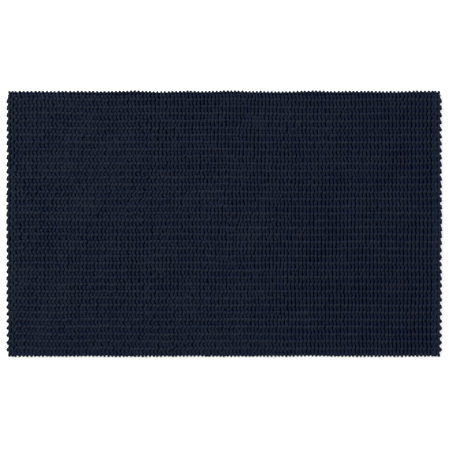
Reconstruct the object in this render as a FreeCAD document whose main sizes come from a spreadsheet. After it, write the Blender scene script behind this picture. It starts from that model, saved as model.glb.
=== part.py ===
import FreeCAD, Part
import math
import os
import Sketcher

# Rectangular bath mat of thick crocheted yarn, lying flat.
# X runs along the long side, Y along the short side, Z is up.
# The origin is the middle of the underside, on the floor plane.

doc = FreeCAD.newDocument("bath_mat")

# ---------------------------------------------------------------- dimensions
SIZES = [
    ("mat_length", 864.0),        # overall, along X
    ("mat_width", 528.0),         # overall, along Y
    ("side_edging_width", 16.0),  # upright edging down each short side
    ("row_pitch", 14.0),          # one band: a high course and a low course
    ("course_width", 7.0),        # one course
    ("row_count", 36.0),
    ("first_row_top", 248.5),     # upper edge of band 1
    ("backing_thickness", 1.5),
    ("backing_margin", 5.0),      # the backing stops short of the yarn's edge
    ("shoulder_height", 9.44),    # valley between courses, above the floor
    ("high_crest_radius", 4.0),
    ("low_crest_radius", 5.0),
    ("edge_crest_radius", 6.0),
    ("side_crest_radius", 5.6),
    ("edge_height", 5.2),         # where the outer edge starts to round over
    ("seam_width", 0.9),
    ("seam_depth", 0.6),
    ("seam_half_x", 416.0),       # centre line of the side seams
    ("seam_half_y", 255.5),       # centre line of the long seams
    ("label_length", 46.0),
    ("label_width", 32.0),
    ("label_thickness", 0.4),
    ("label_middle_y", 190.0),    # distance of the label's middle from X axis
]
dims = doc.addObject("Spreadsheet::Sheet", "dims")
for row, (alias, value) in enumerate(SIZES, start=1):
    dims.set("A%d" % row, alias.replace("_", " "))
    dims.set("B%d" % row, str(value))
    dims.setAlias("B%d" % row, alias)
doc.recompute()
V = {alias: float(dims.get(alias)) for alias, value in SIZES}


def plane(body, role):
    for feature in body.Origin.OriginFeatures:
        if feature.Role == role:
            return feature
    raise RuntimeError("no plane " + role)


def new_sketch(body, role, name):
    sketch = body.newObject("Sketcher::SketchObject", name)
    sketch.AttachmentSupport = [(plane(body, role), "")]
    sketch.MapMode = "FlatFace"
    return sketch


def outline(sketch, points, pieces):
    """A closed outline. points: [(u, its expression or None on the axis, v, its expression)].
    pieces, anticlockwise: ("line",) or ("arc", radius, its expression) from each point to the next."""
    count = len(points)
    ends = []
    for i, piece in enumerate(pieces):
        a, b = points[i], points[(i + 1) % count]
        p, q = FreeCAD.Vector(a[0], a[2], 0), FreeCAD.Vector(b[0], b[2], 0)
        if piece[0] == "line":
            ends.append(sketch.addGeometry(Part.LineSegment(p, q), False))
        else:
            r = piece[1]
            half = (q - p).Length / 2
            across = (q - p).normalize()
            inward = FreeCAD.Vector(-across.y, across.x, 0)
            middle = (p + q) * 0.5 + inward * math.sqrt(r * r - half * half)
            start = math.atan2(p.y - middle.y, p.x - middle.x)
            stop = math.atan2(q.y - middle.y, q.x - middle.x)
            if stop < start:
                stop += 2 * math.pi
            circle = Part.Circle(middle, FreeCAD.Vector(0, 0, 1), r)
            ends.append(sketch.addGeometry(Part.ArcOfCircle(circle, start, stop), False))
    for i in range(count):
        sketch.addConstraint(
            Sketcher.Constraint("Coincident", ends[i], 2, ends[(i + 1) % count], 1)
        )
    for i, (u, u_says, v, v_says) in enumerate(points):
        for kind, value, says, axis in (("DistanceX", u, u_says, -2), ("DistanceY", v, v_says, -1)):
            if says is None:
                sketch.addConstraint(Sketcher.Constraint("PointOnObject", ends[i], 1, axis))
            else:
                n = sketch.addConstraint(Sketcher.Constraint(kind, -1, 1, ends[i], 1, value))
                name = "%s%d" % ("u" if kind == "DistanceX" else "v", i)
                sketch.renameConstraint(n, name)
                sketch.setExpression("Constraints." + name, says)
    for i, piece in enumerate(pieces):
        if piece[0] == "arc":
            n = sketch.addConstraint(Sketcher.Constraint("Radius", ends[i], piece[1]))
            sketch.renameConstraint(n, "r%d" % i)
            sketch.setExpression("Constraints.r%d" % i, piece[2])


def pad(body, sketch, says, reverse=False):
    feature = body.newObject("PartDesign::Pad", sketch.Name + "_pad")
    feature.Profile = sketch
    feature.Length = 1.0
    feature.setExpression("Length", says)
    feature.Reversed = reverse
    sketch.Visibility = False
    body.Tip = feature
    return feature


def place(body, x=None, y=None, z=None):
    for letter, says in (("x", x), ("y", y), ("z", z)):
        if says is not None:
            body.setExpression("Placement.Base." + letter, says)


FIELD = "dims.mat_length - 2 * dims.side_edging_width"
FLOOR = ("dims.backing_thickness", V["backing_thickness"])
SHOULDER = ("dims.shoulder_height", V["shoulder_height"])
w = V["course_width"]
parts = []

# ------------------------------------------------------- bands of the field
# Each band is padded along X from an upright outline: the high course is on
# the upper side (+Y) and the low course on the lower side.
for k in range(int(V["row_count"])):
    body = doc.addObject("PartDesign::Body", "stitch_row_%02d" % (k + 1))
    sketch = new_sketch(body, "YZ_Plane", "row_outline_%02d" % (k + 1))
    outline(
        sketch,
        [
            (0.0, None, FLOOR[1], FLOOR[0]),
            (2 * w, "2 * dims.course_width", FLOOR[1], FLOOR[0]),
            (2 * w, "2 * dims.course_width", SHOULDER[1], SHOULDER[0]),
            (w, "dims.course_width", SHOULDER[1], SHOULDER[0]),
            (0.0, None, SHOULDER[1], SHOULDER[0]),
        ],
        [
            ("line",),
            ("line",),
            ("arc", V["high_crest_radius"], "dims.high_crest_radius"),
            ("arc", V["low_crest_radius"], "dims.low_crest_radius"),
            ("line",),
        ],
    )
    pad(body, sketch, FIELD)
    place(
        body,
        x="-(%s) / 2" % FIELD,
        y="dims.first_row_top - %d * dims.row_pitch" % (k + 1),
    )
    parts.append(body)

# ------------------------------------- the course at each of the long sides
# Upper side: one more low course, then the bound-off chain, which rounds
# over to the outer edge.
top_depth = V["mat_width"] / 2 - V["first_row_top"]
body = doc.addObject("PartDesign::Body", "finishing_row")
sketch = new_sketch(body, "YZ_Plane", "finishing_outline")
TOP = "dims.mat_width / 2 - dims.first_row_top"
EDGE = ("dims.edge_height", V["edge_height"])
outline(
    sketch,
    [
        (0.0, None, FLOOR[1], FLOOR[0]),
        (top_depth, TOP, FLOOR[1], FLOOR[0]),
        (top_depth, TOP, EDGE[1], EDGE[0]),
        (w, "dims.course_width", SHOULDER[1], SHOULDER[0]),
        (0.0, None, SHOULDER[1], SHOULDER[0]),
    ],
    [
        ("line",),
        ("line",),
        ("arc", V["edge_crest_radius"], "dims.edge_crest_radius"),
        ("arc", V["low_crest_radius"], "dims.low_crest_radius"),
        ("line",),
    ],
)
pad(body, sketch, FIELD)
place(body, x="-(%s) / 2" % FIELD, y="dims.first_row_top")
parts.append(body)

# Lower side: the starting chain alone, mirrored.
low_depth = V["mat_width"] / 2 + V["first_row_top"] - V["row_count"] * V["row_pitch"]
LOW = "dims.mat_width / 2 + dims.first_row_top - dims.row_count * dims.row_pitch"
body = doc.addObject("PartDesign::Body", "starting_row")
sketch = new_sketch(body, "YZ_Plane", "starting_outline")
outline(
    sketch,
    [
        (0.0, None, FLOOR[1], FLOOR[0]),
        (low_depth, LOW, FLOOR[1], FLOOR[0]),
        (low_depth, LOW, SHOULDER[1], SHOULDER[0]),
        (0.0, None, EDGE[1], EDGE[0]),
    ],
    [
        ("line",),
        ("line",),
        ("arc", V["edge_crest_radius"], "dims.edge_crest_radius"),
        ("line",),
    ],
)
pad(body, sketch, FIELD)
place(body, x="-(%s) / 2" % FIELD, y="-dims.mat_width / 2")
parts.append(body)

# --------------------------------------------- edging down each short side
# Two upright courses: the inner one crowned, the outer one rounding over to
# the outer edge. Both run the whole width of the mat.
half = V["side_edging_width"] / 2
HALF = "dims.side_edging_width / 2"
FULL = "dims.side_edging_width"
for side in ("left", "right"):
    body = doc.addObject("PartDesign::Body", "side_edging_" + side)
    sketch = new_sketch(body, "XZ_Plane", "edging_outline_" + side)
    if side == "right":
        points = [
            (0.0, None, FLOOR[1], FLOOR[0]),
            (2 * half, FULL, FLOOR[1], FLOOR[0]),
            (2 * half, FULL, EDGE[1], EDGE[0]),
            (half, HALF, SHOULDER[1], SHOULDER[0]),
            (0.0, None, SHOULDER[1], SHOULDER[0]),
        ]
        outer, inner = 2, 3
    else:
        points = [
            (0.0, None, FLOOR[1], FLOOR[0]),
            (2 * half, FULL, FLOOR[1], FLOOR[0]),
            (2 * half, FULL, SHOULDER[1], SHOULDER[0]),
            (half, HALF, SHOULDER[1], SHOULDER[0]),
            (0.0, None, EDGE[1], EDGE[0]),
        ]
        outer, inner = 3, 2
    pieces = [("line",)] * 5
    pieces[outer] = ("arc", V["edge_crest_radius"], "dims.edge_crest_radius")
    pieces[inner] = ("arc", V["side_crest_radius"], "dims.side_crest_radius")
    outline(sketch, points, pieces)
    pad(body, sketch, "dims.mat_width")
    if side == "right":
        place(body, x="dims.mat_length / 2 - dims.side_edging_width", y="dims.mat_width / 2")
    else:
        place(body, x="-dims.mat_length / 2", y="dims.mat_width / 2")
    parts.append(body)


# ------------------------------------------------------------------ backing
def rectangle(sketch, x0, y0, x1, y1):
    """x0 and the rest are (value, expression), all measured from the sketch's corner."""
    outline(
        sketch,
        [
            (x0[0], x0[1], y0[0], y0[1]),
            (x1[0], x1[1], y0[0], y0[1]),
            (x1[0], x1[1], y1[0], y1[1]),
            (x0[0], x0[1], y1[0], y1[1]),
        ],
        [("line",)] * 4,
    )


def slot(body, name, x0, y0, x1, y1, depth):
    """A rectangular recess in the underside, cut upwards from the floor plane."""
    before = body.Shape.Volume
    sketch = new_sketch(body, "XY_Plane", name + "_outline")
    rectangle(sketch, x0, y0, x1, y1)
    feature = body.newObject("PartDesign::Pocket", name)
    feature.Profile = sketch
    feature.Length = 1.0
    feature.setExpression("Length", depth)
    feature.Reversed = True
    sketch.Visibility = False
    body.Tip = feature
    doc.recompute()
    wanted = (x1[0] - x0[0]) * (y1[0] - y0[0]) * float(dims.get(depth.split(".")[1]))
    removed = before - body.Shape.Volume
    if abs(removed - wanted) > 0.02 * wanted:
        raise RuntimeError("%s removed %.3f, not %.3f" % (name, removed, wanted))


# The backing's own origin is its lower left corner.
margin = V["backing_margin"]
bl, bw = V["mat_length"] - 2 * margin, V["mat_width"] - 2 * margin
BL = "dims.mat_length - 2 * dims.backing_margin"
BW = "dims.mat_width - 2 * dims.backing_margin"
body = doc.addObject("PartDesign::Body", "backing")
sketch = new_sketch(body, "XY_Plane", "backing_outline")
outline(
    sketch,
    [
        (0.0, None, 0.0, None),
        (bl, BL, 0.0, None),
        (bl, BL, bw, BW),
        (0.0, None, bw, BW),
    ],
    [("line",)] * 4,
)
pad(body, sketch, "dims.backing_thickness")
doc.recompute()

sx, sy, sw = V["seam_half_x"], V["seam_half_y"], V["seam_width"]
MX = "(%s) / 2" % BL
MY = "(%s) / 2" % BW


def at_x(value, says):
    return (bl / 2 + value, "%s + %s" % (MX, says))


def at_y(value, says):
    return (bw / 2 + value, "%s + %s" % (MY, says))


SXI = "dims.seam_half_x - dims.seam_width / 2"
SXO = "dims.seam_half_x + dims.seam_width / 2"
SYI = "dims.seam_half_y - dims.seam_width / 2"
SYO = "dims.seam_half_y + dims.seam_width / 2"
xi, xo, yi, yo = sx - sw / 2, sx + sw / 2, sy - sw / 2, sy + sw / 2
# The side seams run past the long ones at the corners.
slot(body, "groove_right", at_x(xi, "(%s)" % SXI), at_y(-yo, "(-(%s))" % SYO),
     at_x(xo, "(%s)" % SXO), at_y(yo, "(%s)" % SYO), "dims.seam_depth")
slot(body, "groove_left", at_x(-xo, "(-(%s))" % SXO), at_y(-yo, "(-(%s))" % SYO),
     at_x(-xi, "(-(%s))" % SXI), at_y(yo, "(%s)" % SYO), "dims.seam_depth")
slot(body, "groove_top", at_x(-xi, "(-(%s))" % SXI), at_y(yi, "(%s)" % SYI),
     at_x(xi, "(%s)" % SXI), at_y(yo, "(%s)" % SYO), "dims.seam_depth")
slot(body, "groove_bottom", at_x(-xi, "(-(%s))" % SXI), at_y(-yo, "(-(%s))" % SYO),
     at_x(xi, "(%s)" % SXI), at_y(-yi, "(-(%s))" % SYI), "dims.seam_depth")
# Recess for the label, whose end is caught in the right-hand seam.
lx0, LX0 = xi - V["label_length"], "(%s - dims.label_length)" % SXI
ly0, LY0 = -V["label_middle_y"] - V["label_width"] / 2, "(-dims.label_middle_y - dims.label_width / 2)"
ly1, LY1 = -V["label_middle_y"] + V["label_width"] / 2, "(-dims.label_middle_y + dims.label_width / 2)"
slot(body, "label_recess", at_x(lx0, LX0), at_y(ly0, LY0),
     at_x(xi, "(%s)" % SXI), at_y(ly1, LY1), "dims.label_thickness")
place(body, x="-" + MX, y="-" + MY)
parts.append(body)


# ------------------------------------------------------- seams and the label
def strip(label, length, width, height, x, y):
    """A flat strip from the floor plane up."""
    body = doc.addObject("PartDesign::Body", label)
    sketch = new_sketch(body, "XY_Plane", label + "_outline")
    outline(
        sketch,
        [
            (0.0, None, 0.0, None),
            (length[0], length[1], 0.0, None),
            (length[0], length[1], width[0], width[1]),
            (0.0, None, width[0], width[1]),
        ],
        [("line",)] * 4,
    )
    pad(body, sketch, height)
    place(body, x=x, y=y)
    parts.append(body)


SW = (sw, "dims.seam_width")
TALL = (2 * yo, "2 * (%s)" % SYO)
LONG = (2 * xi, "2 * (%s)" % SXI)
strip("seam_right", SW, TALL, "dims.seam_depth", SXI, "-(%s)" % SYO)
strip("seam_left", SW, TALL, "dims.seam_depth", "-(%s)" % SXO, "-(%s)" % SYO)
strip("seam_top", LONG, SW, "dims.seam_depth", "-(%s)" % SXI, SYI)
strip("seam_bottom", LONG, SW, "dims.seam_depth", "-(%s)" % SXI, "-(%s)" % SYO)
strip("care_label", (V["label_length"], "dims.label_length"),
      (V["label_width"], "dims.label_width"), "dims.label_thickness", LX0, LY0)

doc.recompute()

# ------------------------------------------------------------ check and write
for thing in doc.Objects:
    bad = [s for s in thing.State if s in ("Invalid", "Error")]
    if bad:
        raise RuntimeError("%s is %s" % (thing.Label, bad))
low = FreeCAD.Vector(1e9, 1e9, 1e9)
high = FreeCAD.Vector(-1e9, -1e9, -1e9)
for body in parts:
    shape = body.Shape
    if shape.isNull() or not shape.isValid() or len(shape.Solids) != 1:
        raise RuntimeError(body.Label + " has no sound solid")
    box = shape.BoundBox
    low = FreeCAD.Vector(min(low.x, box.XMin), min(low.y, box.YMin), min(low.z, box.ZMin))
    high = FreeCAD.Vector(max(high.x, box.XMax), max(high.y, box.YMax), max(high.z, box.ZMax))
for got, wanted in (
    (high.x, V["mat_length"] / 2), (-low.x, V["mat_length"] / 2),
    (high.y, V["mat_width"] / 2), (-low.y, V["mat_width"] / 2), (low.z + 1, 1.0),
):
    if abs(got - wanted) > 1e-3:
        raise RuntimeError("the mat reaches %.4f, not %.4f" % (got, wanted))

os.makedirs("parts", exist_ok=True)
for body in parts:
    body.Shape.exportStep(os.path.join("parts", body.Label + ".step"))
print("wrote %d pieces, %.1f x %.1f x %.2f mm" % (
    len(parts), high.x - low.x, high.y - low.y, high.z - low.z))
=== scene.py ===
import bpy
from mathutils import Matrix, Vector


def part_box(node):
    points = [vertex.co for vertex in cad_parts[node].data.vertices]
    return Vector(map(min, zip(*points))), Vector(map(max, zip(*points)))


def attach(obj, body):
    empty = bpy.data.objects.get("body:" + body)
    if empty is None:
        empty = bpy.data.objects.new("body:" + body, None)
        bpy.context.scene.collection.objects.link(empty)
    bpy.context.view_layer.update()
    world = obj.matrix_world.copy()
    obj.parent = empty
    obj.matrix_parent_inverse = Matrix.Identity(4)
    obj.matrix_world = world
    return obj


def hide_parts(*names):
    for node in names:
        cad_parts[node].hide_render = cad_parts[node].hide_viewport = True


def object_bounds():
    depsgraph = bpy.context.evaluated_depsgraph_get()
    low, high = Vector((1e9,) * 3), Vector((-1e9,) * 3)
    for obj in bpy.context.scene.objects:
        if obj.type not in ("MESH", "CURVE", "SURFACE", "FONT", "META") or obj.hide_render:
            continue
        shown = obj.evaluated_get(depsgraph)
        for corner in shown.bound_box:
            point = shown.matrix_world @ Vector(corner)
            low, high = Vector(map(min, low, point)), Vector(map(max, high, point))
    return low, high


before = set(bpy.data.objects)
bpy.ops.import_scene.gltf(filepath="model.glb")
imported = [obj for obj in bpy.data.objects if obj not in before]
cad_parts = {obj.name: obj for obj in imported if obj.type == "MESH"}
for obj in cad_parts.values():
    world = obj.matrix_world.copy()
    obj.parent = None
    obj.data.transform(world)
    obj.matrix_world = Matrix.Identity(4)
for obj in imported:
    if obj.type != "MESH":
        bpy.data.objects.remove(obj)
CAD_BOX = [list(map(float, corner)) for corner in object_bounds()]

import math

import bpy
import numpy as np
from mathutils import Vector

# ---------------------------------------------------------------------------
# Sizes, in metres, read from the frame.
MM = 0.001
LOW, HIGH = (np.array(c) for c in CAD_BOX)
HALF_X, HALF_Y = HIGH[0], HIGH[1]
ROWS = sorted(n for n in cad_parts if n.startswith("stitch_row_"))
row_box = {n: np.array(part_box(n), float) for n in ROWS}
BAND = row_box[ROWS[0]][1][1] - row_box[ROWS[0]][0][1]  # 14 mm: two courses
COURSE = BAND / 2
FIELD_X = row_box[ROWS[0]][1][0]  # half the length of a band
FLOOR = row_box[ROWS[0]][0][2]  # the top of the backing
TOP = HIGH[2]
STITCHES = 112
R = 1.62 * MM  # radius of the yarn
MID = (FLOOR + TOP) / 2 - 0.8 * MM  # middle of the yarn fabric's thickness
SIDES = 8


# ---------------------------------------------------------------------------
# Smooth, seeded irregularity.
class Field:
    """A smooth random field over the mat: a few sine waves with seeded directions."""

    def __init__(self, seed, shortest, longest, count=9):
        r = np.random.default_rng(seed)
        length = r.uniform(shortest, longest, count)
        angle = r.uniform(0, 2 * np.pi, count)
        self.k = 2 * np.pi / length[:, None] * np.stack([np.cos(angle), np.sin(angle)], 1)
        self.phase = r.uniform(0, 2 * np.pi, count)
        self.a = (length / length.max()) ** 0.5
        self.a /= np.sqrt((self.a**2).sum() / 2)

    def __call__(self, x, y):
        s = 0
        for k, p, a in zip(self.k, self.phase, self.a):
            s = s + a * np.sin(k[0] * x + k[1] * y + p)
        return s


drift_x = Field(11, 0.09, 0.40)
drift_y = Field(12, 0.12, 0.45)
drift_z = Field(13, 0.05, 0.22)
lean = Field(14, 0.10, 0.50)
plump = Field(15, 0.03, 0.12)

# The stitches are a little wider near both ends than in the middle.
_at = np.array([-0.416, -0.36, -0.30, -0.24, -0.18, -0.12, -0.06, 0.0, 0.06, 0.12, 0.18, 0.24, 0.30, 0.36, 0.416])
_wide = np.array([3.96, 3.90, 3.87, 3.81, 3.79, 3.77, 3.70, 3.64, 3.66, 3.74, 3.75, 3.73, 3.72, 3.80, 3.98])
_fine = np.linspace(-0.416, 0.416, 2001)
_count = np.concatenate([[0], np.cumsum(1 / np.interp((_fine[1:] + _fine[:-1]) / 2, _at, _wide))])
_count *= STITCHES / _count[-1]


def along(u):
    """Stitch count from the left end of a course to a place along X."""
    inside = np.interp(u, _count, _fine) * FIELD_X / 0.416
    inside = inside + np.minimum(u, 0) * 7.6 * MM + np.maximum(u - STITCHES, 0) * 7.6 * MM
    return inside


# ---------------------------------------------------------------------------
# One stitch of each course as the control points of a smooth curve: u across
# the stitch in stitches, v up the course in courses, n in yarn radii towards
# the stitch's own face, how many points each span gets, and how plump the
# yarn is there: full where it's free, squeezed where loops pass through.
FRONT = np.array([
    [-0.30, 0.84, -1.45, 1, 0.85],
    [-0.14, 0.06, -1.85, 1, 0.85],
    [-0.08, -0.40, -0.60, 1, 0.85],
    [-0.09, -0.26, 0.90, 1, 0.95],
    [-0.10, 0.04, 1.15, 1, 0.98],
    [-0.10, 0.38, 0.95, 2, 0.96],
    [-0.12, 0.78, 1.45, 3, 1.04],
    [-0.10, 1.08, 1.40, 1, 1.04],
    [0.01, 1.22, 0.80, 1, 0.98],
    [0.11, 1.08, 1.35, 1, 1.04],
    [0.12, 0.78, 1.40, 3, 1.04],
    [0.10, 0.38, 0.95, 2, 0.96],
    [0.10, 0.04, 1.10, 1, 0.98],
    [0.08, -0.26, 0.90, 1, 0.95],
    [0.08, -0.40, -0.60, 1, 0.85],
    [0.18, 0.08, -1.90, 1, 0.85],
    [0.26, 0.82, -1.70, 1, 0.85],
    [-0.02, 1.18, -0.90, 1, 0.85],
    [0.14, 1.20, 0.10, 1, 0.85],
    [0.56, 1.02, -0.85, 1, 0.90],
    [0.92, 1.04, -1.20, 1, 0.85],
])
# The course worked on the way back shows its reverse, which is n < 0: a round
# knot of yarn at the top of each stitch over two short legs.
BACK = np.array([
    [-0.30, 0.98, -1.00, 1, 0.92],
    [-0.04, 0.66, -2.30, 2, 1.05],
    [-0.10, 0.10, -1.25, 1, 1.00],
    [-0.08, -0.34, -0.50, 1, 0.88],
    [-0.20, 0.04, 1.60, 1, 0.85],
    [-0.20, 0.84, 1.60, 1, 0.85],
    [0.02, 1.16, 0.70, 1, 0.85],
    [0.20, 0.84, 1.60, 1, 0.85],
    [0.20, 0.04, 1.60, 1, 0.85],
    [0.08, -0.34, -0.50, 1, 0.88],
    [0.11, 0.04, -1.25, 1, 1.00],
    [0.14, 0.32, -1.60, 2, 1.06],
    [0.19, 0.60, -2.40, 3, 1.32],
    [0.13, 0.94, -2.95, 3, 1.58],
    [-0.13, 0.96, -2.95, 3, 1.58],
    [-0.19, 0.66, -2.35, 2, 1.28],
    [-0.14, 0.74, -0.90, 1, 0.90],
    [-0.12, 1.22, 0.30, 1, 0.85],
    [0.16, 1.14, 0.60, 1, 0.90],
    [0.52, 0.96, -0.75, 1, 1.05],
    [0.86, 0.98, -0.80, 1, 1.00],
])
# The bound edge along the long sides: the yarn goes round it once to each
# stitch. u along the edge in stitches, then outward and up in millimetres.
WRAP = np.array([
    [-0.36, -3.0, -2.4, 1, 0.85],
    [-0.22, -3.4, 0.8, 1, 0.95],
    [-0.08, -1.8, 2.8, 2, 1.25],
    [0.00, 1.2, 2.7, 2, 1.60],
    [0.02, 3.1, 0.9, 2, 1.75],
    [0.03, 3.3, -1.0, 2, 1.55],
    [0.10, 1.6, -3.0, 1, 0.95],
    [0.34, -1.4, -3.4, 1, 0.85],
])


def smooth(P, counts):
    """A uniform cubic B-spline through batches of control points P (rows, points, values)."""
    n = P.shape[1]
    c = counts[: n - 3]
    starts = np.concatenate([[0], np.cumsum(c)])
    out = np.empty((P.shape[0], starts[-1] + 1, P.shape[2]))
    for s in np.unique(c):
        which = np.nonzero(c == s)[0]
        for j in range(int(s)):
            t = j / s
            b = ((1 - t) ** 3 / 6, (3 * t**3 - 6 * t**2 + 4) / 6, (-3 * t**3 + 3 * t**2 + 3 * t + 1) / 6, t**3 / 6)
            out[:, starts[which] + j] = sum(b[i] * P[:, which + i] for i in range(4))
    out[:, -1] = (P[:, -3] + 4 * P[:, -2] + P[:, -1]) / 6
    return out


def tubes(p, radius, sides=SIDES):
    """Rings round batches of curves p (rows, points, 3), carried along without spinning. Returns (rows, points, sides, 3)."""
    t = np.gradient(p, axis=1)
    t /= np.maximum(np.linalg.norm(t, axis=2, keepdims=True), 1e-12)
    u = np.empty_like(p)
    a = np.cross(t[:, 0], np.array([0.31, 0.17, 1.0]))
    u[:, 0] = a / np.linalg.norm(a, axis=1, keepdims=True)
    for i in range(p.shape[1] - 1):
        v1 = p[:, i + 1] - p[:, i]
        c1 = np.maximum((v1 * v1).sum(1, keepdims=True), 1e-18)
        ul = u[:, i] - 2 / c1 * (v1 * u[:, i]).sum(1, keepdims=True) * v1
        tl = t[:, i] - 2 / c1 * (v1 * t[:, i]).sum(1, keepdims=True) * v1
        v2 = t[:, i + 1] - tl
        c2 = (v2 * v2).sum(1, keepdims=True)
        u[:, i + 1] = ul - np.where(c2 > 1e-12, 2 / np.maximum(c2, 1e-12), 0) * (v2 * ul).sum(1, keepdims=True) * v2
    u /= np.linalg.norm(u, axis=2, keepdims=True)
    w = np.cross(t, u)
    ang = np.arange(sides) * 2 * np.pi / sides
    radius = np.broadcast_to(radius, p.shape[:2])
    return p[:, :, None] + radius[:, :, None, None] * (
        np.cos(ang)[:, None] * u[:, :, None] + np.sin(ang)[:, None] * w[:, :, None]
    )


def yarn_mesh(name, strands, radius, material):
    """A mesh of closed yarn tubes. strands is a list of (points, sides, 3) rings; radius is not used.
    In its UVs u is the length along the yarn in metres, v once round it."""
    verts, quads, caps, uv_quads, uv_caps, n = [], [], [], [], [], 0
    for rings in strands:
        m, s = rings.shape[:2]
        centre = rings.mean(1)
        run = np.concatenate([[0], np.cumsum(np.linalg.norm(np.diff(centre, axis=0), axis=1))])
        verts.append(rings.reshape(-1, 3))
        i = np.arange(m - 1)[:, None] * s
        j = np.arange(s)[None]
        k = (j + 1) % s
        quads.append(np.stack([i + j, i + s + j, i + s + k, i + k], -1).reshape(-1, 4) + n)
        v0, v1 = j / s + 0 * i, (j + 1) / s + 0 * i
        r0, r1 = np.repeat(run[:-1, None], s, 1), np.repeat(run[1:, None], s, 1)
        uv_quads.append(np.stack([np.stack([r0, v0], -1), np.stack([r1, v0], -1), np.stack([r1, v1], -1), np.stack([r0, v1], -1)], 2).reshape(-1, 2))
        caps += [np.arange(s) + n, (np.arange(s)[::-1] + (m - 1) * s) + n]
        for at in (run[0], run[-1]):
            uv_caps.append(np.stack([np.full(s, at), np.arange(s) / s], 1))
        n += m * s
    verts, quads = np.concatenate(verts), np.concatenate(quads)
    loops = np.concatenate([quads.reshape(-1)] + caps).astype(np.int32)
    sizes = np.concatenate([np.full(len(quads), 4), [len(c) for c in caps]]).astype(np.int32)
    me = bpy.data.meshes.new(name)
    me.vertices.add(len(verts))
    me.vertices.foreach_set("co", verts.astype(np.float32).reshape(-1))
    me.loops.add(len(loops))
    me.loops.foreach_set("vertex_index", loops)
    me.polygons.add(len(sizes))
    me.polygons.foreach_set("loop_start", np.concatenate([[0], np.cumsum(sizes)[:-1]]).astype(np.int32))
    me.polygons.foreach_set("loop_total", sizes)
    me.polygons.foreach_set("use_smooth", np.ones(len(sizes), bool))
    uv = me.uv_layers.new(name="yarn")
    uv.data.foreach_set("uv", np.concatenate(uv_quads + uv_caps).astype(np.float32).reshape(-1))
    # a second layout with every part of the yarn in its own place: the strands are cut into lengths laid side by side
    lengths = [r.shape[0] - 1 for r in strands]
    sides = strands[0].shape[1]
    total = sum(lengths)
    lanes = max(1, int(round(math.sqrt(total * 0.75))))
    per_lane = int(math.ceil(total / lanes)) + 1
    lane_uv, cap_uv, done = [], [], 0
    for m in lengths:
        k = np.arange(m) + done
        u0, lane = (k % per_lane) / per_lane, k // per_lane
        u1 = u0 + 1 / per_lane
        a = (lane[:, None] + 0.06 + 0.88 * np.arange(sides)[None] / sides) / lanes
        b = (lane[:, None] + 0.06 + 0.88 * (np.arange(sides)[None] + 1) / sides) / lanes
        a, b = a * lanes / (lanes + 1), b * lanes / (lanes + 1)
        l, r = np.repeat(u0[:, None], sides, 1), np.repeat(u1[:, None], sides, 1)
        lane_uv.append(np.stack([np.stack([l, a], -1), np.stack([r, a], -1), np.stack([r, b], -1), np.stack([l, b], -1)], 2).reshape(-1, 2))
        done += m
    angle = np.arange(sides) * 2 * np.pi / sides
    for _ in caps:
        cap_uv.append(np.stack([0.5 + 0.002 * np.cos(angle), (lanes + 0.5) / (lanes + 1) + 0.002 * np.sin(angle)], 1))
    bake = me.uv_layers.new(name="OFBake")
    bake.data.foreach_set("uv", np.concatenate(lane_uv + cap_uv).astype(np.float32).reshape(-1))
    me.update(calc_edges=True)
    me.validate()
    me.materials.append(material)
    ob = bpy.data.objects.new(name, me)
    bpy.context.collection.objects.link(ob)
    return ob


# ---------------------------------------------------------------------------
# Materials.
def new_material(name):
    m = bpy.data.materials.new(name)
    m.use_nodes = True
    nt = m.node_tree
    return m, nt, nt.nodes["Principled BSDF"]


def node(nt, kind, **values):
    n = nt.nodes.new(kind)
    for key, value in values.items():
        if key.startswith("in_"):
            k = key[3:]
            n.inputs[int(k) if k.isdigit() else k.replace("_", " ")].default_value = value
        else:
            setattr(n, key, value)
    return n


def maths(nt, operation, a, b=None, c=None):
    n = nt.nodes.new("ShaderNodeMath")
    n.operation = operation
    for i, x in enumerate((a, b, c)):
        if x is None:
            continue
        if isinstance(x, (int, float)):
            n.inputs[i].default_value = x
        else:
            nt.links.new(x, n.inputs[i])
    return n.outputs[0]


def ramp(nt, value, stops):
    n = nt.nodes.new("ShaderNodeValToRGB")
    n.color_ramp.elements[0].position, n.color_ramp.elements[0].color = stops[0][0], (*stops[0][1], 1)
    n.color_ramp.elements[1].position, n.color_ramp.elements[1].color = stops[-1][0], (*stops[-1][1], 1)
    for at, colour in stops[1:-1]:
        e = n.color_ramp.elements.new(at)
        e.color = (*colour, 1)
    nt.links.new(value, n.inputs[0])
    return n.outputs[0]


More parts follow.
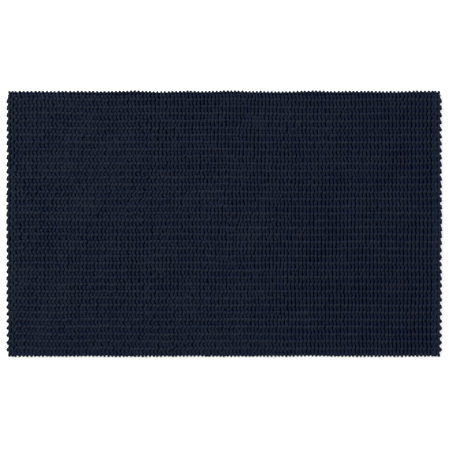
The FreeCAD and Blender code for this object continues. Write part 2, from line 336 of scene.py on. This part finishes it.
def yarn_material(name, deep, base, light, plies=4, turn=0.0036):
    """Soft plied yarn: the plies wind round it as shallow grooves, with fine fibres across them and a slow unevenness of dye."""
    m, nt, shader = new_material(name)
    uv = node(nt, "ShaderNodeUVMap", uv_map="yarn")
    sep = node(nt, "ShaderNodeSeparateXYZ")
    nt.links.new(uv.outputs[0], sep.inputs[0])
    place = node(nt, "ShaderNodeTexCoord").outputs["Object"]
    # ply phase, wobbled so that the twist isn't a perfect screw
    wob = node(nt, "ShaderNodeTexNoise", in_Scale=90.0, in_Detail=2.0)
    nt.links.new(place, wob.inputs["Vector"])
    spin = maths(nt, "MULTIPLY_ADD", sep.outputs[0], 1.0 / turn, maths(nt, "MULTIPLY", wob.outputs[0], 2.0))
    phase = maths(nt, "ADD", spin, maths(nt, "MULTIPLY", sep.outputs[1], float(plies)))
    wave = maths(nt, "COSINE", maths(nt, "MULTIPLY", phase, 2 * math.pi))
    ply = maths(nt, "POWER", maths(nt, "MULTIPLY_ADD", wave, 0.5, 0.5), 0.45)  # 0 in a groove, 1 on a ply
    fibre = node(nt, "ShaderNodeTexNoise", in_Scale=2600.0, in_Detail=3.0, in_Roughness=0.65)
    nt.links.new(place, fibre.inputs["Vector"])
    dye = node(nt, "ShaderNodeTexNoise", in_Scale=46.0, in_Detail=5.0, in_Roughness=0.6)
    nt.links.new(place, dye.inputs["Vector"])
    # painted shade and highlight: the higher the yarn stands, the lighter it is painted, so the crests carry a painted
    # highlight and the yarn down between the loops a painted shade
    split = node(nt, "ShaderNodeSeparateXYZ")
    nt.links.new(place, split.inputs[0])
    painted_height_shade = nt.nodes.new("ShaderNodeMapRange")
    painted_height_shade.inputs["From Min"].default_value, painted_height_shade.inputs["From Max"].default_value = 0.0043, 0.0118
    nt.links.new(split.outputs[2], painted_height_shade.inputs["Value"])
    rims, edge = [], []
    for axis, rim in ((0, HALF_X), (1, HALF_Y)):
        # painted shade: how far in from the edge the painted edge shade below reaches
        painted_edge_shade_ramp = nt.nodes.new("ShaderNodeMapRange")
        painted_edge_shade_ramp.inputs["From Min"].default_value, painted_edge_shade_ramp.inputs["From Max"].default_value = rim - 0.0062, rim - 0.0024
        nt.links.new(maths(nt, "ABSOLUTE", split.outputs[axis]), painted_edge_shade_ramp.inputs["Value"])
        edge.append(painted_edge_shade_ramp.outputs[0])
        # painted light: the stitches a few millimetres in from each edge are painted lighter, as if they lay less in
        # shade
        span = nt.nodes.new("ShaderNodeMapRange")
        span.inputs["From Min"].default_value, span.inputs["From Max"].default_value = rim - 0.0070, rim - 0.0035
        nt.links.new(maths(nt, "ABSOLUTE", split.outputs[axis]), span.inputs["Value"])
        rims.append(maths(nt, "MULTIPLY", span.outputs[0], 0.55))
    # painted light: the painted height shade and highlight and the lighter painted border taken together
    painted_light_mask = maths(nt, "MAXIMUM", painted_height_shade.outputs[0], maths(nt, "MAXIMUM", rims[0], rims[1]))
    tone = maths(nt, "MULTIPLY_ADD", ply, 0.16, maths(nt, "MULTIPLY_ADD", fibre.outputs[0], 0.20, maths(nt, "MULTIPLY", dye.outputs[0], 0.28)))
    # the yarn's own shade drifts from course to course
    lot = node(nt, "ShaderNodeMapping")
    lot.inputs["Scale"].default_value = (5.0, 72.0, 1.0)
    nt.links.new(place, lot.inputs["Vector"])
    drift = node(nt, "ShaderNodeTexNoise", in_Scale=1.0, in_Detail=2.0)
    nt.links.new(lot.outputs[0], drift.inputs["Vector"])
    tone = maths(nt, "MULTIPLY_ADD", drift.outputs[0], 0.30, tone)
    tone = maths(nt, "MULTIPLY_ADD", painted_light_mask, 0.50, maths(nt, "SUBTRACT", tone, 0.15))
    # the ramp's deep end gives the painted shade down in the openings as well as the darkest yarn of the random tone,
    # its light end the painted highlight on the crests as well as the lightest yarn
    colour = ramp(nt, tone, [(0.25, deep), (0.60, base), (0.95, light)])
    # painted shade: the outermost turns of yarn, where they slope down over the edge, are painted a deeper shade
    rim = maths(nt, "MAXIMUM", edge[0], edge[1])
    mix = nt.nodes.new("ShaderNodeMix")
    mix.data_type = "RGBA"
    nt.links.new(maths(nt, "MULTIPLY", rim, 0.88), mix.inputs[0])
    nt.links.new(colour, mix.inputs[6])
    mix.inputs[7].default_value = (0.0016, 0.0042, 0.0130, 1)
    nt.links.new(mix.outputs[2], shader.inputs["Base Color"])
    rough = maths(nt, "MULTIPLY_ADD", fibre.outputs[0], 0.16, 0.80)
    nt.links.new(rough, shader.inputs["Roughness"])
    height = maths(nt, "MULTIPLY_ADD", ply, 0.80, maths(nt, "MULTIPLY", fibre.outputs[0], 0.40))
    bump = node(nt, "ShaderNodeBump", in_Strength=0.85, in_Distance=0.0006)
    nt.links.new(height, bump.inputs["Height"])
    nt.links.new(bump.outputs[0], shader.inputs["Normal"])
    shader.inputs["Base Color"].default_value = (*base, 1)
    shader.inputs["Sheen Weight"].default_value = 0.04
    shader.inputs["Sheen Roughness"].default_value = 0.50
    shader.inputs["Sheen Tint"].default_value = (0.45, 0.55, 0.80, 1)
    shader.inputs["Specular IOR Level"].default_value = 0.10
    return m


# the first colour, deep, is the painted shade of the yarn down in the openings, the last, light, the painted highlight
# of its crests; both are also the ends of its random tone
yarn = yarn_material("navy_yarn", (0.0009, 0.0110, 0.0640), (0.0057, 0.0124, 0.0330), (0.0180, 0.0239, 0.0376))

# ---------------------------------------------------------------------------
# Courses of the field.
rng = np.random.default_rng(2024)


def stagger_share(x, y):
    left = np.clip(0.5 - x / FIELD_X, 0, 1)
    return 0.25 - 0.33 * x / FIELD_X + 0.07 * lean(x, y) - 0.06 * left * y / HALF_Y


def course_points(template, x_of, y0, way, face, rows_y, shift, count=STITCHES, start=0):
    """Control points of one course for every band at once: (bands, stitches * points, x y z and plumpness)."""
    m = len(template)
    i = np.arange(count)
    u = template[None, :, 0] + i[:, None] + 0.5
    if way < 0:
        u = count - u
    bands = len(rows_y)
    x = np.broadcast_to(x_of(u + start), (bands, count, m)).copy()
    centre = x_of((count - i - 0.5 if way < 0 else i + 0.5) + start)[None, :, None]
    loose = np.clip(stagger_share(x, rows_y[:, None, None] + y0), 0, 0.6)
    x += (x - centre) * 0.45 * loose
    y = y0 + template[None, None, :, 1] * COURSE + rows_y[:, None, None] + 0 * x
    # the lesser crest stands up towards the left end and lies low towards the right, and the knots a little too
    stand = np.interp(x, [-0.40, -0.10, 0.15, 0.38], [1.0, 0.55, 0.12, 0.0])
    crest = (template[:, 1] > 0.7) & (template[:, 1] < 1.15) & (np.abs(template[:, 2]) > 1.3)
    lift = stand * (crest & (template[:, 2] > 0))[None, None]
    link = (template[:, 0] > 0.5) & (template[:, 2] < 0) & (face > 0)
    n = template[None, None, :, 2] + 0.62 * lift + 0.62 * (1 - stand) * (crest & (template[:, 2] < -2))[None, None]
    n = n + 1.15 * stand * link[None, None]
    n = n + 0.95 * (1 - stand) * ((template[:, 0] > 0.5) & (face < 0))[None, None]
    x += shift(x, y, rows_y[:, None, None])
    # each stitch is a little off its place, and each strand in it too
    free = np.interp(x[..., :1], [-0.40, -0.05, 0.15, 0.38], [1.0, 0.85, 0.45, 0.15])
    slide = 0
    for _ in range(3):
        wave_length, at = rng.uniform(0.06, 0.22, (bands, 1, 1)), rng.uniform(0, 2 * np.pi, (bands, 1, 1))
        slide = slide + np.sin(2 * np.pi * x[..., :1] / wave_length + at)
    x += np.interp(x[..., :1], [-0.40, -0.10, 0.05, 0.20, 0.38], [0.34, 0.45, 0.58, 0.28, 0.08]) * MM * slide
    per = rng.normal(0, 1, (bands, count, 1, 3)) * np.array([0.30, 0.32, 0.25]) * MM
    per = per * (1 + 0.5 * free[..., None])
    per = per + rng.normal(0, 1, (bands, 1, 1, 3)) * np.array([0.10, 0.20, 0.18]) * MM
    each = rng.normal(0, 1, (bands, count, m, 3)) * np.array([0.11, 0.11, 0.11]) * MM
    grow = 1 + 0.08 * rng.normal(0, 1, (bands, count, 1))
    z = MID + face * n * R * grow + 0.18 * MM * drift_z(x, y)
    P = np.stack([x + 0.7 * MM * drift_x(x, y), y + 0.55 * MM * drift_y(x, y), z], -1) + per + each
    fat = (template[None, None, :, 4] * (1 + 0.06 * rng.normal(0, 1, (bands, count, 1)) + 0.09 * (loose - 0.2) + 0.08 * lift - 0.13 * (1 - stand) * (crest & (template[:, 2] < -2))[None, None] + 0.07 * np.exp(-(((x - 0.03) / 0.13) ** 2))))[..., None]
    return np.concatenate([P, fat], -1).reshape(bands, count * m, 4)


def yarn_tube(P, counts, radius=R, sides=SIDES):
    """Rings of yarn along control points with plumpness (rows, points, 4)."""
    line = smooth(P, counts)
    uneven = 1 + 0.05 * plump(line[..., 0], line[..., 1]) + 0.02 * rng.normal(0, 1, line.shape[:2])
    rings = tubes(line[..., :3], radius * line[..., 3] * uneven, sides)
    # the yarn is bedded flat on the backing, and past its edge on the floor
    inside = (np.abs(rings[..., 0]) < HALF_X - 4.2 * MM) & (np.abs(rings[..., 1]) < HALF_Y - 4.2 * MM)
    rings[..., 2] = np.maximum(rings[..., 2], np.where(inside, FLOOR + 0.02 * MM, 0.15 * MM))
    return rings


rows_y = np.array([row_box[n][0][1] for n in ROWS])
STAGGER = 7.43 * MM


def weave(x, y, row):
    """The ribs run in a zigzag: half a stitch between courses at the left end, straight towards the right."""
    swing = np.tanh(2.6 * np.sin(2 * np.pi * (y - row) / BAND)) / math.tanh(2.6)
    wave_right = np.clip((x / FIELD_X - 0.15) / 0.6, 0, 1) * (0.13 + 0.04 * lean(y, x))
    return -0.5 * STAGGER * stagger_share(x, y) * swing + STAGGER * wave_right * np.cos(2 * np.pi * (y - row) / BAND)


Y_SHIFT = -2.7 * MM
low = course_points(FRONT, along, Y_SHIFT, 1, 1, rows_y, weave)
high = course_points(BACK, along, COURSE + Y_SHIFT, -1, -1, rows_y, weave)
counts_low = np.tile(FRONT[:, 3].astype(int), STITCHES)
counts_high = np.tile(BACK[:, 3].astype(int), STITCHES)


def turn_points(bands, x, y_from, y_to, out=1.0):
    """The turning loop at the end of a band, out round the edge and back."""
    steps = [(-0.2, 0.0, 0.4), (0.5, 0.15, 0.8), (0.9, 0.5, 0.2), (0.6, 0.85, -0.4)]
    points = []
    for dx, f, dz in steps:
        points.append(np.stack([np.full(len(bands), x + dx * out * 4 * MM), bands + y_from + (y_to - y_from) * f, np.full(len(bands), MID + dz * R), np.ones(len(bands))], -1))
    return np.stack(points, 1)


turn = turn_points(rows_y, FIELD_X, Y_SHIFT + COURSE, Y_SHIFT + 2 * COURSE - 1 * MM, 0.4)
P = np.concatenate([low, turn, high], 1)
counts = np.concatenate([counts_low, np.full(turn.shape[1], 2), counts_high])
rings = yarn_tube(P, counts)
for i, name in enumerate(ROWS):
    ob = yarn_mesh("yarn_" + name[7:], [rings[i]], R, yarn)
    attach(ob, "root")
    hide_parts(name)

# ---------------------------------------------------------------------------
# The courses that finish the long sides, and the edging of the short ones.
def wrapped(middle, outward, x_of, links, radius=1.0):
    """The yarn's turns round the bound edge along a long side: (1, points, 4) control points and the counts."""
    m = len(WRAP)
    u = (np.arange(links)[:, None] + 0.5 + WRAP[None, :, 0]).reshape(-1)
    x = x_of(u)
    out, up = np.tile(WRAP[:, 1], links) * MM, np.tile(WRAP[:, 2], links) * MM
    grow = np.repeat(1 + 0.07 * rng.normal(0, 1, links), m)
    y = outward * (middle + out * grow + 0.35 * MM * drift_y(x * 2, outward * middle + 0 * x))
    z = EDGE_Z + up * grow + 0.3 * MM * drift_z(x, 0 * x)
    P = np.stack([x + np.repeat(rng.normal(0, 0.25, links), m) * MM, y, z], -1) + rng.normal(0, 0.08 * MM, (len(x), 3))
    P[:, 2] = np.maximum(P[:, 2], 1.0 * MM)
    return np.concatenate([P, np.tile(WRAP[:, 4], links)[:, None] * radius], 1)[None], np.tile(WRAP[:, 3].astype(int), links)


def edge_core(middle, outward):
    """The strand that the turns go round, from corner to corner of a long side."""
    x = np.linspace(-HALF_X + 6.5 * MM, HALF_X - 6.5 * MM, 420)
    y = outward * (middle + 0.9 * MM + 0.35 * MM * drift_y(x * 2, outward * middle + 0 * x) + 0.15 * MM * np.sin(x * 310))
    z = EDGE_Z - 0.7 * MM + 0.3 * MM * drift_z(x, 0 * x)
    return np.stack([x, y, z, np.full(len(x), 1.15)], 1)[None], np.ones(len(x), int)


def finish_piece(ob, *nodes, slot="yarn"):
    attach(ob, "root")
    if nodes:
        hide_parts(*nodes)
    return ob


EDGE_Z = 4.9 * MM
EDGE_MIDDLE = HALF_Y - 6.3 * MM
top_y = np.array([row_box[ROWS[0]][1][1]])
for name, sign in (("finishing_row", 1), ("starting_row", -1)):
    strands = [yarn_tube(*wrapped(EDGE_MIDDLE, sign, along, STITCHES))[0]]
    strands.append(yarn_tube(*edge_core(EDGE_MIDDLE, sign))[0])
    if sign > 0:
        strands.append(yarn_tube(course_points(FRONT, along, Y_SHIFT, 1, 1, top_y, weave), counts_low)[0])
    finish_piece(yarn_mesh("yarn_" + name, strands, R, yarn), name)

# The edging: two stitches to each course and the loop where the yarn turns.
EDGE_STITCHES = 2
n_low, n_high = np.tile(FRONT[:, 3].astype(int), EDGE_STITCHES), np.tile(BACK[:, 3].astype(int), EDGE_STITCHES)
for name, sign in (("side_edging_right", 1), ("side_edging_left", -1)):
    wide = 6.6 * MM
    inner = FIELD_X - 1.9 * MM

    def edge_x(u):
        return inner + u * wide

    def at_side(P, sign=sign):
        P = P.copy()
        P[..., 0] *= sign
        return P

    no_shift = lambda x, y, row: -0.9 * MM * np.sin(2 * np.pi * (y - row) / BAND)
    low_part = course_points(FRONT, edge_x, Y_SHIFT, 1, 1, rows_y, no_shift, EDGE_STITCHES)
    high_part = course_points(BACK, edge_x, COURSE + Y_SHIFT, -1, -1, rows_y, no_shift, EDGE_STITCHES)
    loop = turn_points(rows_y, inner + EDGE_STITCHES * wide - 0.6 * MM, 5.8 * MM, 8.4 * MM, 0.62)
    P = at_side(np.concatenate([low_part, loop, high_part], 1))
    sets = yarn_tube(P, np.concatenate([n_low, np.full(loop.shape[1], 2), n_high]), R * 1.22)
    strands = [sets[i] for i in range(len(sets))]
    corner = at_side(course_points(FRONT, edge_x, Y_SHIFT, 1, 1, top_y, no_shift, EDGE_STITCHES))
    strands.append(yarn_tube(corner, n_low, R * 1.22)[0])
    for side in (1, -1):
        links, n_links = wrapped(EDGE_MIDDLE, side, edge_x, EDGE_STITCHES)
        strands.append(yarn_tube(at_side(links), n_links)[0])
    finish_piece(yarn_mesh("yarn_" + name, strands, R, yarn), name)

# ---------------------------------------------------------------------------
# Underside: the backing, its dots, the seams and the label.
def plain_mesh(name, verts, faces, material, smooth_faces=True):
    me = bpy.data.meshes.new(name)
    me.from_pydata([tuple(map(float, v)) for v in verts], [], [tuple(int(i) for i in f) for f in faces])
    me.validate()
    me.polygons.foreach_set("use_smooth", np.full(len(me.polygons), smooth_faces))
    me.materials.append(material)
    ob = bpy.data.objects.new(name, me)
    bpy.context.collection.objects.link(ob)
    return ob


def slab(name, x0, x1, y0, y1, nx, ny, bottom, top, corner, material):
    """A closed thin sheet with rounded corners and rolled edges. bottom and top give heights over x, y."""
    gx, gy = np.meshgrid(np.linspace(-1, 1, nx), np.linspace(-1, 1, ny), indexing="ij")
    cx, cy, hx, hy = (x0 + x1) / 2, (y0 + y1) / 2, (x1 - x0) / 2, (y1 - y0) / 2
    X, Y = cx + gx * hx, cy + gy * hy
    # pull the corners in to a radius
    dx, dy = np.abs(gx) * hx - (hx - corner), np.abs(gy) * hy - (hy - corner)
    both = (dx > 0) & (dy > 0)
    big = np.maximum(np.maximum(dx, dy), 1e-9)
    length = np.hypot(np.maximum(dx, 0), np.maximum(dy, 0)) + 1e-12
    k = np.where(both, big / length, 1)
    X = np.where(both, cx + np.sign(gx) * (hx - corner + np.maximum(dx, 0) * k), X)
    Y = np.where(both, cy + np.sign(gy) * (hy - corner + np.maximum(dy, 0) * k), Y)
    zt, zb = top(X, Y), bottom(X, Y)
    rim = (np.abs(gx) > 1 - 1e-9) | (np.abs(gy) > 1 - 1e-9)
    mid = (zt + zb) / 2
    zt, zb = np.where(rim, mid + (zt - mid) * 0.45, zt), np.where(rim, mid + (zb - mid) * 0.45, zb)
    n = nx * ny
    verts = np.concatenate([np.stack([X, Y, zt], -1).reshape(-1, 3), np.stack([X, Y, zb], -1).reshape(-1, 3)])
    i = (np.arange(nx - 1)[:, None] * ny + np.arange(ny - 1)[None]).reshape(-1)
    faces = [np.stack([i, i + ny, i + ny + 1, i + 1], -1), np.stack([i + n, i + 1 + n, i + ny + 1 + n, i + ny + n], -1)]
    ring = np.concatenate([np.arange(nx) * ny, (nx - 1) * ny + np.arange(1, ny), np.arange(nx - 2, -1, -1) * ny + ny - 1, np.arange(ny - 2, 0, -1)])
    after = np.roll(ring, -1)
    faces.append(np.stack([after, ring, ring + n, after + n], -1))
    return plain_mesh(name, verts, np.concatenate(faces), material)


def backing_material():
    m, nt, shader = new_material("latex_backing")
    place = node(nt, "ShaderNodeTexCoord").outputs["Object"]
    sep = node(nt, "ShaderNodeSeparateXYZ")
    nt.links.new(place, sep.inputs[0])
    # the open weave of the carrier cloth shows through the latex
    wx = maths(nt, "SINE", maths(nt, "MULTIPLY", sep.outputs[0], 2 * math.pi / 0.0016))
    wy = maths(nt, "SINE", maths(nt, "MULTIPLY", sep.outputs[1], 2 * math.pi / 0.0016))
    weave = maths(nt, "MULTIPLY", wx, wy)
    cloud = node(nt, "ShaderNodeTexNoise", in_Scale=30.0, in_Detail=6.0, in_Roughness=0.6)
    nt.links.new(place, cloud.inputs["Vector"])
    grain = node(nt, "ShaderNodeTexNoise", in_Scale=1800.0, in_Detail=2.0)
    nt.links.new(place, grain.inputs["Vector"])
    tone = maths(nt, "MULTIPLY_ADD", weave, 0.10, maths(nt, "MULTIPLY_ADD", cloud.outputs[0], 0.75, maths(nt, "MULTIPLY", grain.outputs[0], 0.18)))
    nt.links.new(ramp(nt, tone, [(0.22, (0.070, 0.078, 0.090)), (0.50, (0.115, 0.125, 0.140)), (0.80, (0.165, 0.175, 0.190))]), shader.inputs["Base Color"])
    nt.links.new(maths(nt, "MULTIPLY_ADD", cloud.outputs[0], 0.25, 0.50), shader.inputs["Roughness"])
    bump = node(nt, "ShaderNodeBump", in_Strength=0.5, in_Distance=0.0003)
    nt.links.new(maths(nt, "MULTIPLY_ADD", weave, 0.5, grain.outputs[0]), bump.inputs["Height"])
    nt.links.new(bump.outputs[0], shader.inputs["Normal"])
    return m


def dot_material():
    m, nt, shader = new_material("latex_dots")
    place = node(nt, "ShaderNodeTexCoord").outputs["Object"]
    cloud = node(nt, "ShaderNodeTexNoise", in_Scale=240.0, in_Detail=3.0)
    nt.links.new(place, cloud.inputs["Vector"])
    nt.links.new(ramp(nt, cloud.outputs[0], [(0.3, (0.20, 0.21, 0.225)), (0.7, (0.29, 0.30, 0.315))]), shader.inputs["Base Color"])
    nt.links.new(maths(nt, "MULTIPLY_ADD", cloud.outputs[0], 0.2, 0.35), shader.inputs["Roughness"])
    return m


back_low, back_high = (np.array(c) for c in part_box("backing"))
latex = backing_material()
cloth, nt, shader = new_material("carrier_cloth")
place = node(nt, "ShaderNodeTexCoord").outputs["Object"]
grain = node(nt, "ShaderNodeTexNoise", in_Scale=1500.0, in_Detail=2.0)
nt.links.new(place, grain.inputs["Vector"])
nt.links.new(ramp(nt, grain.outputs[0], [(0.3, (0.0020, 0.0050, 0.0150)), (0.7, (0.0040, 0.0090, 0.0240))]), shader.inputs["Base Color"])
shader.inputs["Roughness"].default_value = 0.95
shader.inputs["Specular IOR Level"].default_value = 0.05
backing = slab(
    "backing_cloth", back_low[0], back_high[0], back_low[1], back_high[1], 143, 87,
    lambda x, y: 0.40 * MM + 0.05 * MM * drift_z(x, y), lambda x, y: back_high[2] + 0 * x, 5 * MM, latex,
)
backing.data.materials.append(cloth)
up_facing = np.zeros(len(backing.data.polygons), np.int32)
up_facing[: len(up_facing) // 2 - (143 + 87 - 2)] = 1
backing.data.polygons.foreach_set("material_index", up_facing)
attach(backing, "root")
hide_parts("backing")


def dots():
    pitch, r, verts, faces = 12 * MM, 2.2 * MM, [], []
    label_low, label_high = (np.array(c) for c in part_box("care_label"))
    seg = 10
    ang = np.arange(seg) * 2 * np.pi / seg
    rows = int((back_high[1] - back_low[1] - 24 * MM) / (pitch * 0.866))
    for j in range(rows + 1):
        y = (j - rows / 2) * pitch * 0.866
        cols = int((back_high[0] - back_low[0] - 30 * MM) / pitch)
        for i in range(cols + 1 - j % 2):
            x = (i - (cols - j % 2) / 2) * pitch
            if label_low[0] - 3 * MM < x < label_high[0] + 3 * MM and label_low[1] - 3 * MM < y < label_high[1] + 3 * MM:
                continue
            rr = r * (1 + 0.05 * rng.normal())
            n = len(verts)
            for k, (f, z) in enumerate(((1.0, 0.55), (0.86, 0.16), (0.55, 0.0))):
                for a in ang:
                    verts.append((x + rr * f * math.cos(a), y + rr * f * math.sin(a), z * MM))
            for k in range(2):
                for s in range(seg):
                    faces.append((n + k * seg + s, n + (k + 1) * seg + s, n + (k + 1) * seg + (s + 1) % seg, n + k * seg + (s + 1) % seg))
            faces.append(tuple(n + s for s in range(seg)))
            faces.append(tuple(n + 2 * seg + s for s in range(seg))[::-1])
    me = bpy.data.meshes.new("backing_dots")
    me.from_pydata(verts, [], faces)
    me.validate()
    me.polygons.foreach_set("use_smooth", np.ones(len(me.polygons), bool))
    me.materials.append(dot_material())
    ob = bpy.data.objects.new("backing_dots", me)
    bpy.context.collection.objects.link(ob)
    return ob


dot_piece = dots()
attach(dot_piece, "root")
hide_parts("backing")

thread = yarn_material("seam_thread", (0.006, 0.009, 0.018), (0.012, 0.018, 0.034), (0.022, 0.030, 0.050), plies=2, turn=0.0012)


def seam(node_name):
    """Lockstitch: one thread whose upper runs lie in the valley of the yarn and whose lower runs lie in the backing."""
    low_, high_ = (np.array(c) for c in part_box(node_name))
    long_axis = 0 if high_[0] - low_[0] > high_[1] - low_[1] else 1
    length = high_[long_axis] - low_[long_axis]
    centre = (low_ + high_) / 2
    step = 4.0 * MM
    count = int(length / step)
    step = length / count
    strands = []
    r = 0.20 * MM
    # underside: separate runs that go up into the backing at both ends
    for i in range(count):
        s = np.array([0.04, 0.06, 0.14, 0.5, 0.86, 0.94, 0.96]) * step + i * step
        z = np.array([1.3, 0.8, 0.34, 0.26, 0.34, 0.8, 1.3]) * MM
        P = np.zeros((1, len(s), 3))
        P[0, :, long_axis] = low_[long_axis] + s
        P[0, :, 1 - long_axis] = centre[1 - long_axis] + rng.normal(0, 0.05) * MM
        P[0, :, 2] = z
        P = np.concatenate([P[:, :1], P, P[:, -1:]], 1)
        strands.append(tubes(smooth(P, np.full(P.shape[1], 2)), r, 5)[0])
        z = np.array([2.6, 3.6, 4.6, 4.9, 4.6, 3.6, 2.6]) * MM
        Q = P.copy()
        Q[0, 1:-1, 2] = z
        Q[0, 0, 2], Q[0, -1, 2] = z[0], z[-1]
        Q[0, :, long_axis] += step * 0.5 if i < count - 1 else 0
        strands.append(tubes(smooth(Q, np.full(Q.shape[1], 1)), r * 1.1, 5)[0])
    return yarn_mesh("thread_" + node_name, strands, r, thread)


for name in ("seam_left", "seam_right", "seam_top", "seam_bottom"):
    finish_piece(seam(name), name, slot="thread")


def label_material():
    m, nt, shader = new_material("label_tape")
    place = node(nt, "ShaderNodeTexCoord").outputs["Object"]
    sep = node(nt, "ShaderNodeSeparateXYZ")
    nt.links.new(place, sep.inputs[0])
    wx = maths(nt, "SINE", maths(nt, "MULTIPLY", sep.outputs[0], 2 * math.pi / 0.0005))
    wy = maths(nt, "SINE", maths(nt, "MULTIPLY", sep.outputs[1], 2 * math.pi / 0.0007))
    weave = maths(nt, "MULTIPLY", wx, wy)
    soft = node(nt, "ShaderNodeTexNoise", in_Scale=140.0, in_Detail=4.0)
    nt.links.new(place, soft.inputs["Vector"])
    tone = maths(nt, "MULTIPLY_ADD", weave, 0.08, soft.outputs[0])
    nt.links.new(ramp(nt, tone, [(0.30, (0.66, 0.655, 0.63)), (0.70, (0.80, 0.795, 0.775))]), shader.inputs["Base Color"])
    nt.links.new(maths(nt, "MULTIPLY_ADD", soft.outputs[0], 0.15, 0.55), shader.inputs["Roughness"])
    bump = node(nt, "ShaderNodeBump", in_Strength=0.4, in_Distance=0.0001)
    nt.links.new(weave, bump.inputs["Height"])
    nt.links.new(bump.outputs[0], shader.inputs["Normal"])
    return m


lab_low, lab_high = (np.array(c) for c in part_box("care_label"))
wave = lambda x, y: 0.08 * MM * (1 + np.sin((x - lab_low[0]) * 150) * np.cos((y - lab_low[1]) * 90))
label = slab(
    "label_tape", lab_low[0], lab_high[0], lab_low[1], lab_high[1], 33, 23,
    lambda x, y: 0.02 * MM + wave(x, y), lambda x, y: 0.26 * MM + wave(x, y), 1.2 * MM, label_material(),
)
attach(label, "root")
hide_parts("care_label")

# ---------------------------------------------------------------------------
# Floor, light and camera.
floor_mat, nt, shader = new_material("pale_floor")
shader.inputs["Base Color"].default_value = (0.93, 0.93, 0.93, 1)
shader.inputs["Roughness"].default_value = 0.9
shader.inputs["Specular IOR Level"].default_value = 0.1
shader.inputs["Emission Color"].default_value = (1, 1, 1, 1)
shader.inputs["Emission Strength"].default_value = 0.55
floor = plain_mesh("floor", [(-6, -6, -0.0002), (6, -6, -0.0002), (6, 6, -0.0002), (-6, 6, -0.0002)], [(0, 1, 2, 3)], floor_mat, False)

scene = bpy.context.scene
world = bpy.data.worlds.new("studio")
scene.world = world
world.use_nodes = True
world.node_tree.nodes["Background"].inputs[0].default_value = (1.0, 1.0, 1.0, 1)
world.node_tree.nodes["Background"].inputs[1].default_value = 0.40


def area(name, place, aim, size, power, colour=(1, 1, 1)):
    data = bpy.data.lights.new(name, "AREA")
    data.shape = "SQUARE"
    data.size = size
    data.energy = power
    data.color = colour
    ob = bpy.data.objects.new(name, data)
    ob.location = place
    ob.rotation_euler = (Vector(aim) - Vector(place)).to_track_quat("-Z", "Y").to_euler()
    bpy.context.collection.objects.link(ob)
    return ob


area("key", (-2.75, 2.1, 3.1), (0, 0, 0), 1.7, 209)
area("fill", (2.1, -1.2, 2.2), (0, 0, 0), 2.0, 10)
scene.view_settings.view_transform = "Standard"
scene.view_settings.look = "None"

eye = 2.0
width = 450 * 1.981 * MM
cam = bpy.data.cameras.new("camera")
cam.sensor_width = 36
cam.lens = 36 / 2 / (width / 2 / eye)
cam_ob = bpy.data.objects.new("camera", cam)
cam_ob.location = (0.0017, -0.0023, eye)
bpy.context.collection.objects.link(cam_ob)
scene.camera = cam_ob
